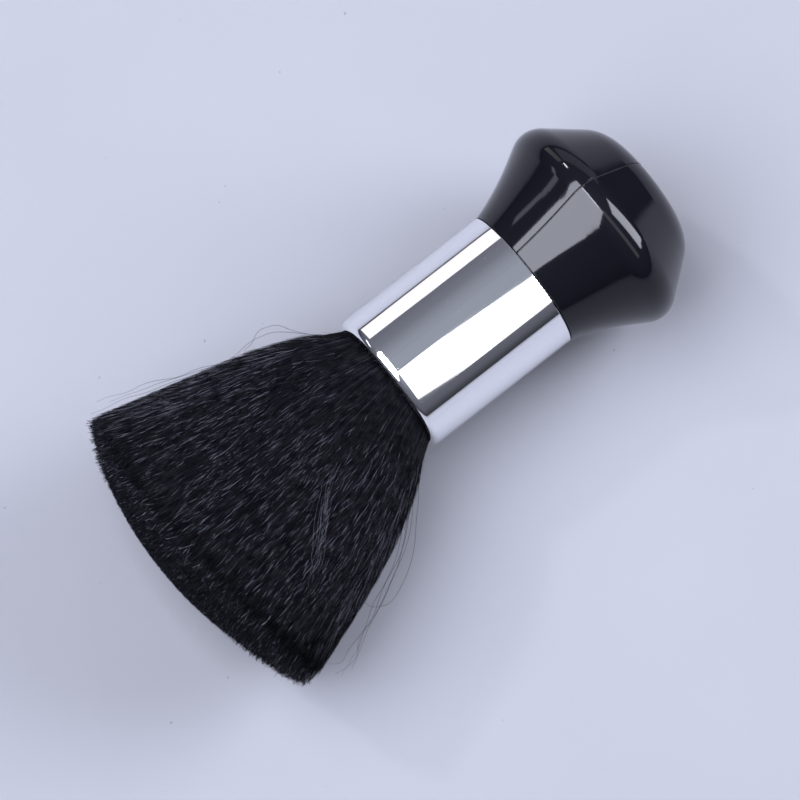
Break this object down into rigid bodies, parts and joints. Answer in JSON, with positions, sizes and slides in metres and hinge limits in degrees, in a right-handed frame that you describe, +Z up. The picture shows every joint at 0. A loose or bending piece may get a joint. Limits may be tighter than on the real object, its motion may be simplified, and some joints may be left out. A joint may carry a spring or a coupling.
{
  "type": "neck duster brush",
  "caption": "Barber's neck duster: a short glossy knob handle, a polished metal ferrule and a wide soft fan of black hair for brushing cut hair off the neck.",
  "frame": {"origin": "on the surface the brush lies on, under the middle of its overall length and width", "axes": "+X along the brush towards the knob's domed end, +Z up from the surface it lies on, hair towards -X"},
  "size_m": [0.1506, 0.0816, 0.0583],
  "materials": {
    "black_gloss_plastic": "high gloss moulded black",
    "dark_cement": "dark solvent cement line",
    "polished_aluminium": "mirror polished",
    "cup_plastic": "plain moulded, natural colour",
    "amber_glue": "set glue",
    "cast_resin": "cast resin over the roots",
    "waxed_thread": "waxed thread",
    "black_hair": "straight fine hair with a soft sheen"
  },
  "bodies": {
    "root": {"handle_shell_left": "black_gloss_plastic", "handle_shell_right": "black_gloss_plastic", "seam_cement": "dark_cement", "ferrule": "polished_aluminium", "bristle_cup": "cup_plastic", "cup_glue_ring": "amber_glue", "spigot_glue_ring": "amber_glue", "root_resin": "cast_resin", "binding_thread": "waxed_thread", "spreader_core": "cup_plastic", "hair_bundle": "black_hair"}
  },
  "joints": []
}
